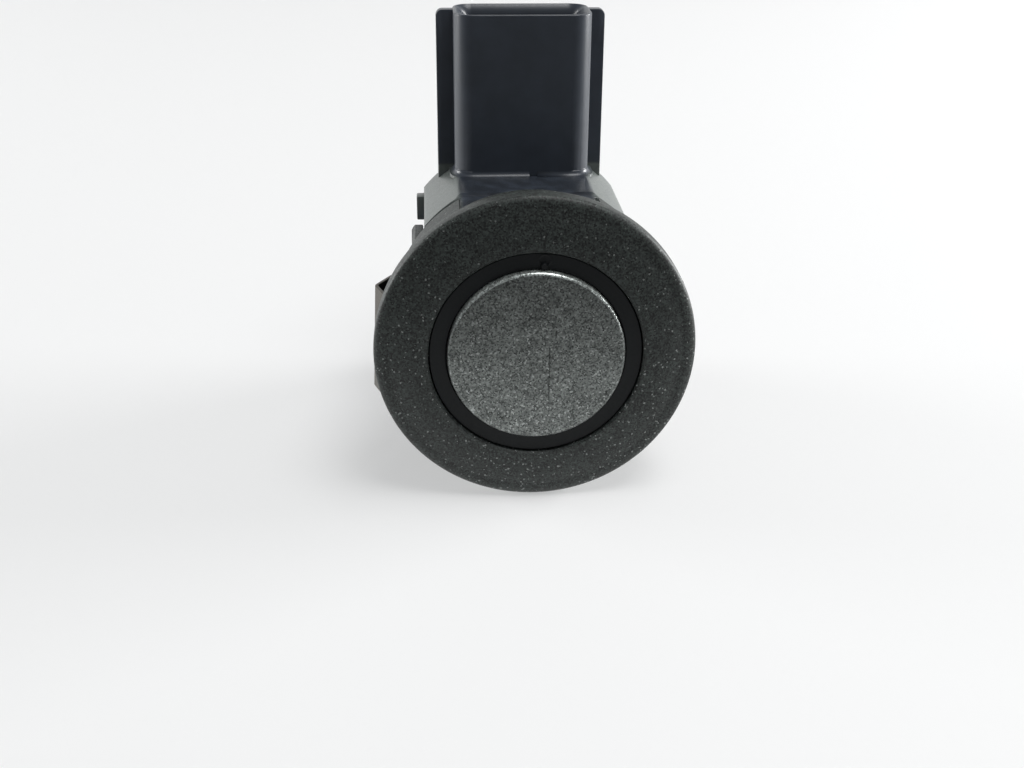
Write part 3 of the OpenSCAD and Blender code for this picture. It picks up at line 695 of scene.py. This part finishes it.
# %% The cup
CUP_R, CUP_ROUND, CUP_Y, BORE_R, FLOOR_Y, STEP_Y, END_Y = 7.7, 0.32, -2.8, 6.7, -2.1, 0.9, 6.2
SLOT_HALF, BRIM_R, BRIM_Y = 4.422, 8.3, 5.2
cup_rows = np.vstack([
    [[radius, CUP_Y] for radius in (0, 4, 7.2)],
    arc((CUP_R - CUP_ROUND, CUP_Y + CUP_ROUND), CUP_ROUND, -90, 0, 8),
    [[CUP_R, BRIM_Y], [BRIM_R, BRIM_Y], [BRIM_R, END_Y], [BORE_R, END_Y], [BORE_R, STEP_Y]],
    [[BORE_R, STEP_Y], [BORE_R, FLOOR_Y], [0, FLOOR_Y]],
])
cup_points = turned(cup_rows, 256)
cup_points[-3:, :, 2] = np.clip(cup_points[-3:, :, 2], -SLOT_HALF, SLOT_HALF)
stand_in(new_piece("pressed_cup", cup_points), "face_paint", "membrane_cup")

# %% [markdown]
# ## The housing's body
# The housing is one moulding of glass-filled nylon: a tube that slides into the collar, a round body cut by
# four flats, and the connector's shroud on top. The CAD mesh could be kept, but the photograph shows narrower
# flanks, wider ribs and a sloped mouth, and a moulding has no knife-sharp edges. So its members are worked out
# one by one as closed surfaces and then joined. The body is a stack of outlines, each a circle cut by four
# flats, that runs back along the outside, round the rear edge, forward through the room for the board and the
# bore of the tube, and ends where it began.

# %% The body and its tube
HOUSING_Y, FLANGE_Y, PAD_Y, PAD_STEP, REAR_ROUND, EDGE = 23.2, 9.9, 10.8, 0.2, 0.4, 0.12
BODY = np.array([12.2, 9.45, 10.6, 11.2])
ROOM = np.array([10.95, 8.6, 9.1, 9.7])
BOARD_Y, LEDGE, BULKHEAD = 15.39, 0.6, (7, 9.9)
LEAST_COSINE = 0.01
TUBE_R, TUBE_IN_R, TUBE_Y, WIRE_R = 10.45, 9.45, -0.45, 4.5


def corner_turns(shape, counts=(24, 12, 32, 16, 24, 16, 32, 12)):
    """Angles from the top, evenly spaced between the eight corners where the circle meets the flats."""
    radius, side, top, bottom = shape
    t, s, b = math.acos(top / radius), math.asin(side / radius), math.acos(bottom / radius)
    pi = math.pi
    corners = [-t, t, s, pi - s, pi - b, pi + b, pi + s, 2 * pi - s, 2 * pi - t]
    return np.concatenate([np.linspace(*ends, n, endpoint=False) for *ends, n in zip(corners, corners[1:], counts)])


def flattened(shape, depth):
    """A circle cut by four flats: at each angle the nearest of the circle and the flats, whose distance is
    their own distance from the axis over the cosine of the angle to it, which counts as 0.01 at least."""
    turn = corner_turns(shape)
    radius, side, top, bottom = shape
    sine, cosine = np.sin(turn), np.cos(turn)
    flats = [
        side / np.maximum(np.abs(sine), LEAST_COSINE), top / np.maximum(cosine, LEAST_COSINE),
        bottom / np.maximum(-cosine, LEAST_COSINE),
    ]
    reach = np.minimum.reduce([np.full_like(turn, radius), *flats])
    return np.stack([reach * sine, np.full_like(turn, depth), reach * cosine], axis=-1)


low_top = BODY - (0, 0, PAD_STEP, 0)


def round_row(radius, depth):
    """A circle whose points lie at the angles of the outline at the tube's end."""
    turn = corner_turns(low_top - 2 * EDGE)
    return np.stack([radius * np.sin(turn), np.full_like(turn, depth), radius * np.cos(turn)], axis=-1)


tube_end = flattened(low_top - 2 * EDGE, FLANGE_Y)
tube_end[:, ::2] *= np.minimum(TUBE_R / np.hypot(tube_end[:, :1], tube_end[:, 2:]), 1)
rear_edge = arc((REAR_ROUND, HOUSING_Y - REAR_ROUND), REAR_ROUND, 180, 90, 8)
body_points = np.stack([
    round_row(TUBE_R, TUBE_Y + EDGE), round_row(TUBE_R, FLANGE_Y - 2 * EDGE), tube_end - (0, 2 * EDGE, 0), tube_end,
    flattened(low_top - EDGE, FLANGE_Y), flattened(low_top, FLANGE_Y + EDGE),
    flattened(low_top, PAD_Y - PAD_STEP), flattened(BODY, PAD_Y),
    *[flattened(BODY - inset, depth) for inset, depth in rear_edge],
    flattened(ROOM + EDGE, HOUSING_Y), flattened(ROOM, HOUSING_Y - EDGE),
    flattened(ROOM, BOARD_Y), flattened(ROOM - LEDGE, BOARD_Y), flattened(ROOM - LEDGE, BULKHEAD[1]),
    round_row(WIRE_R, BULKHEAD[1]), round_row(WIRE_R, BULKHEAD[0]),
    round_row(TUBE_IN_R, BULKHEAD[0]), round_row(TUBE_IN_R, TUBE_Y), round_row(TUBE_R - EDGE, TUBE_Y),
])
members = [new_piece("housing_moulding", body_points, wrap_rows=True)]

# %% [markdown]
# ## The connector's shroud
# The shroud is a tube with a rounded rectangular outline. Its rows start below the pad, go up the outside,
# over the rim, down the sloped lead-in that guides the plug, and down to the socket's floor. A fillet runs
# round its foot. Its section has one hollow side, and it is carried along the same rounded outline. A small
# notch breaks it right of the middle, so there are two lengths of it.

# %% The shroud and the fillet at its foot
CONN_W, CONN_T, CONN_TOP, CONN_WALL, CONN_ROUND = 12.8, 7, 25.6, 1.15, 1.8
CONN_Y = HOUSING_Y - CONN_T / 2
LEAD_IN, SOCKET_Z, FOOT_ROUND = 0.95, 13.4, 0.5
FOOT_NOTCH, FOOT_SUNK = (0.65, 1.4), 0.3


def shroud_row(inset, height):
    """The shroud's outline made smaller by the inset, at a height."""
    flat = rounded_box(CONN_W - 2 * inset, CONN_T - 2 * inset, max(CONN_ROUND - inset, EDGE), 9)
    return np.insert(flat + (0, CONN_Y), 2, height, axis=1)


shroud_top = arc((EDGE, CONN_TOP - EDGE), EDGE, 180, 90, 7)
shroud_points = np.stack([
    shroud_row(0, ROOM[2]), *[shroud_row(inset, height) for inset, height in shroud_top],
    shroud_row(CONN_WALL - LEAD_IN, CONN_TOP), shroud_row(CONN_WALL, CONN_TOP - LEAD_IN),
    shroud_row(CONN_WALL, SOCKET_Z),
])
members.append(new_piece("shroud", closed_ends(shroud_points)))

hollow = arc((-FOOT_ROUND, FOOT_ROUND), FOOT_ROUND, -90, 0, 7)
inside = [[FOOT_SUNK, FOOT_ROUND], [FOOT_SUNK, -FOOT_SUNK], [-FOOT_ROUND, -FOOT_SUNK]]
foot_section = np.vstack([hollow, inside])
side_x, front_y = CONN_W / 2, CONN_Y - CONN_T / 2
left_run = [[-side_x, CONN_Y, BODY[2]], [-side_x, front_y, BODY[2]], [FOOT_NOTCH[0], front_y, BODY[2]]]
right_run = [[FOOT_NOTCH[1], front_y, BODY[2]], [side_x, front_y, BODY[2]], [side_x, CONN_Y, BODY[2]]]
for name, run in (("foot_fillet_left", left_run), ("foot_fillet_right", right_run)):
    members.append(new_piece(name, swept(rounded_path(run, CONN_ROUND, 13), foot_section, (0, 0, 1))))

# %% [markdown]
# ## Ribs, lugs and the latch's ramp
# What is left are straight pieces: each has a flat outline, carried from one place to another along an axis.
# Two ribs guide the plug at the shroud's sides, two lugs catch the snap loops, a ramp behind the shroud holds
# the plug's latch, a key fits the notch of the collar, and one small rib stands at the rear of the left flat.

# %% Straight members
def prism(outline, start, end, order):
    """An outline carried from start to end. The order says which of x, y and z its two measures and its length
    go along."""
    outline = np.array(outline, dtype=float)
    flat = np.stack([np.insert(outline, 2, station, axis=1) for station in (start, end)])
    points = np.empty_like(flat)
    points[..., list(order)] = flat
    return closed_ends(points)


RIB_X, RIB_T, RIB_Y, RIB_TOP, RIB_ROUND = 8.0, 1.2, 21.45, 25.4, 0.6
KEY = {"half": 6.15, "y": 5.45, "top": 10.4}
RAMP = {"half": 2.2, "out": 1, "top": 22.2, "height": 3}
CORNER_RIB = {"x": (9.1, 10.2), "y": (21.5, 23.0), "z": (4.7, 7.1)}
MEMBER_CREASE = 20
LUG = {"half": 4.4, "gap": 0.05, "below_loop": 0.15, "catch": 0.3}
lug_rear, lug_x = LOOP_Y - LOOP_STRIP - LUG["gap"], LOOP_X + LOOP_T - LUG["below_loop"]
rib = np.vstack([
    arc((RIB_X - RIB_ROUND, RIB_TOP - RIB_ROUND), RIB_ROUND, 0, 90, 7),
    [[CONN_W / 2 - SUNK, RIB_TOP], [CONN_W / 2 - SUNK, ROOM[2]], [RIB_X, ROOM[2]]],
])
lug = np.array([
    [BODY[1] - SUNK, FLANGE_Y], [BODY[1], FLANGE_Y], [lug_x, lug_rear - LUG["catch"]], [lug_x, lug_rear],
    [BODY[1] - SUNK, lug_rear],
])
ramp = [
    [HOUSING_Y - SUNK, RAMP["top"]], [HOUSING_Y, RAMP["top"]],
    [HOUSING_Y + RAMP["out"], RAMP["top"] - RAMP["height"] + RAMP["out"]],
    [HOUSING_Y + RAMP["out"], RAMP["top"] - RAMP["height"]], [HOUSING_Y - SUNK, RAMP["top"] - RAMP["height"]],
]
straight = [
    ("latch_ramp", prism(ramp, -RAMP["half"], RAMP["half"], (1, 2, 0))),
    ("collar_key", prism(
        [[-KEY["half"], 0], [KEY["half"], 0], [KEY["half"], KEY["top"]], [-KEY["half"], KEY["top"]]],
        KEY["y"], FLANGE_Y + SUNK, (0, 2, 1),
    )),
    ("corner_rib", prism(
        [[-x, z] for x, z in zip(np.repeat(CORNER_RIB["x"], 2), [*CORNER_RIB["z"], *CORNER_RIB["z"][::-1]])],
        *CORNER_RIB["y"], (0, 2, 1),
    )),
]
for side, word in ((-1, "left"), (1, "right")):
    straight.append(("rib_" + word, prism(rib * (side, 1), RIB_Y - RIB_T / 2, RIB_Y + RIB_T / 2, (0, 2, 1))))
    straight.append(("lug_" + word, prism(lug * (side, 1), -LUG["half"], LUG["half"], (0, 1, 2))))
for name, points in straight:
    members.append(new_piece(name, points, crease=MEMBER_CREASE))
    round_edges(members[-1], EDGE, MEMBER_CREASE)

# %% [markdown]
# ## Joined into one moulding
# Overlapping members would look right, but they hide faces inside each other, and the mesh is kept as a result
# too. A Boolean modifier unites them, and its outcome is stored as a plain mesh. The tool edges stay sharp
# where the members meet, as in a mould made of several inserts. Large faces keep their own normals, so the
# shading doesn't bend across them.

# %% The joined housing
HOUSING_CREASE = 27


def united(first, others):
    """The union of closed pieces, kept as the first one's mesh; the pieces themselves are removed."""
    group = bpy.data.collections.new("members")
    for piece in others:
        group.objects.link(piece)
    union = first.modifiers.new("union", "BOOLEAN")
    union.operation, union.operand_type, union.collection = "UNION", "COLLECTION", group
    union.solver = "EXACT"
    joined = bpy.data.meshes.new_from_object(first.evaluated_get(bpy.context.evaluated_depsgraph_get()))
    first.modifiers.clear()
    first.data = joined
    for piece in others:
        bpy.data.objects.remove(piece)
    bpy.data.collections.remove(group)
    return first


housing = united(members[0], members[1:])
open_edges = close_up(housing.data, HOUSING_CREASE)
weighted = housing.modifiers.new("large_faces_first", "WEIGHTED_NORMAL")
weighted.keep_sharp = True
stand_in(housing, "black_moulding", "housing")
print("the housing has", len(housing.data.polygons), "faces and", open_edges, "open edges")

# %% [markdown]
# ## A white sweep
# The sensor rests on the lower edge of its bezel and on the rear edge of its housing, so in its own frame the
# table rises towards the rear. Far behind, the table bends up into a wall, as the paper in a studio does: its
# profile is a straight, a quarter circle and a straight.

# %% The sweep
rim_bottom = np.array([0, -SEAT_ROUND, -BEZEL_R])
heel_bottom = np.array([0, HOUSING_Y - REAR_ROUND, -BODY[3]])
rise = heel_bottom - rim_bottom
tilt = math.atan2(rise[2], rise[1])
FRONT, BACK, BEND, WALL, HALF = -900, 450, 150, 500, 1200
quarter = np.radians(np.linspace(0, 90, 13))
sweep_profile = np.vstack([
    [[FRONT, 0]], np.stack([BACK + BEND * np.sin(quarter), BEND - BEND * np.cos(quarter)], axis=-1),
    [[BACK + BEND, WALL]],
])
along, upright = [math.cos(tilt), math.sin(tilt)], [-math.sin(tilt), math.cos(tilt)]
run = sweep_profile[:, :1] * along + sweep_profile[:, 1:] * upright
sides = np.linspace(-HALF, HALF, 3)
points = np.stack([
    np.broadcast_to(sides[:, None], (3, len(run))), np.broadcast_to(run[:, 0], (3, len(run))),
    np.broadcast_to(run[:, 1], (3, len(run))),
], axis=-1) + rim_bottom
mesh = bpy.data.meshes.new("white_sweep")
mesh.from_pydata(points.reshape(-1, 3) * MM, [], cells(3, len(run), wrap_columns=False)[:, ::-1])
mesh.shade_smooth()
sweep = bpy.data.objects.new("white_sweep", mesh)
bpy.context.scene.collection.objects.link(sweep)
print("the table is tilted by", round(math.degrees(tilt), 2), "degrees in the sensor's frame")

# %% [markdown]
# ## Paper that glows
# The paper is what is white in the picture and in the reflections. Stronger lamps could make it white, but they
# would wash out the sensor too, so it glows for camera and glossy rays only, and the lamps stay at a plain
# level. Between 38 and 56 mm in front of the bezel's seat, out of the picture, its colour and its glow in the
# reflections fall off to a dark tone: a painted shadow, where the camera's shade lies on the table.

# %% Paper of the sweep
# painted shadow on the paper in front: where it starts, where it is full, and its tone
CAMERA_GLOW, SHADE_START, SHADE_END, PAINTED_SHADOW_TONE = 0.42, -38, -56, 0.08
paper, tree, shader = new_finish("white_paper", Roughness=0.7)
rays = add(tree, "ShaderNodeLightPath")
glow = add(tree, "ShaderNodeEmission", {"Color": linear("#fbfcfc"), "Strength": 1.0})
by_camera = add(tree, "ShaderNodeMath", {0: rays.outputs["Is Camera Ray"], 1: CAMERA_GLOW}, operation="MULTIPLY")
place = add(tree, "ShaderNodeTexCoord").outputs["Object"]
depth = add(tree, "ShaderNodeSeparateXYZ", {"Vector": place}).outputs["Y"]
# painted shadow: the paper darkens in front of the sensor, in its colour and in its glow for glossy rays
painted_shadow_fade = add(tree, "ShaderNodeMapRange", {
    "Value": depth, "From Min": SHADE_END * MM, "From Max": SHADE_START * MM, "To Min": PAINTED_SHADOW_TONE, "To Max": 1.0,
})
sheet = add(tree, "ShaderNodeVectorMath", {0: linear("#e9e9e9")[:3], "Scale": painted_shadow_fade.outputs[0]}, operation="SCALE")
tree.links.new(sheet.outputs[0], shader.inputs["Base Color"])
by_gloss = add(tree, "ShaderNodeMath", {0: rays.outputs["Is Glossy Ray"], 1: painted_shadow_fade.outputs[0]}, operation="MULTIPLY")
seen = add(tree, "ShaderNodeMath", {0: by_camera.outputs[0], 1: by_gloss.outputs[0]}, operation="MAXIMUM")
blend = add(tree, "ShaderNodeMixShader", {0: seen.outputs[0], 1: shader.outputs[0], 2: glow.outputs[0]})
tree.links.new(blend.outputs[0], tree.nodes["Material Output"].inputs["Surface"])
mesh.materials.append(paper)
print("the paper glows for the camera by", CAMERA_GLOW)

# %% [markdown]
# ## Soft light
# The paper is painted dark from just in front of the sensor on, a painted shadow where the camera's shade
# lies, so the top of the face mirrors that shadow and is darker than its foot. One softbox hangs above, a little
# to the right and to the front, and lights the bezel's upper edge, the edge of the cup and the mouth of the
# shroud. Two low ones stand at the sides, a little behind the sensor, so that they light the round corners of
# the shroud but not the bezel's front. A dim room fills the rest.

# %% The lights
ROOM_LIGHT = 0.27
bpy.context.scene.view_settings.view_transform = "Standard"


def softbox(name, place, target, size, watts):
    """A square area light at a place, turned to face a target, both in metres: down first, then round the
    upright axis."""
    data = bpy.data.lights.new(name, "AREA")
    data.shape, data.size, data.energy = "SQUARE", size, watts
    lamp = bpy.data.objects.new(name, data)
    lamp.location = place
    east, north, up = np.array(target) - np.array(place)
    lamp.rotation_euler = (math.atan2(math.hypot(east, north), -up), 0, math.atan2(-east, north))
    bpy.context.scene.collection.objects.link(lamp)


softbox("top_softbox", (0.1, -0.07, 0.38), (0, 0.01, 0), 0.2, 0.92)
softbox("right_softbox", (0.38, 0.09, 0.08), (0, 0.02, 0.01), 0.18, 2.3)
softbox("left_softbox", (-0.38, 0.12, 0.08), (0, 0.02, 0.01), 0.16, 1.2)
world = bpy.data.worlds.new("dim_room")
world.use_nodes = True
bpy.context.scene.world = world
background = world.node_tree.nodes["Background"]
background.inputs["Color"].default_value = linear("#e8eaec")
background.inputs["Strength"].default_value = ROOM_LIGHT

# %% [markdown]
# ## Brought up to date
# The new pieces stand in for CAD nodes, so the view layer is brought up to date once more.

# %% Up to date
bpy.context.view_layer.update()
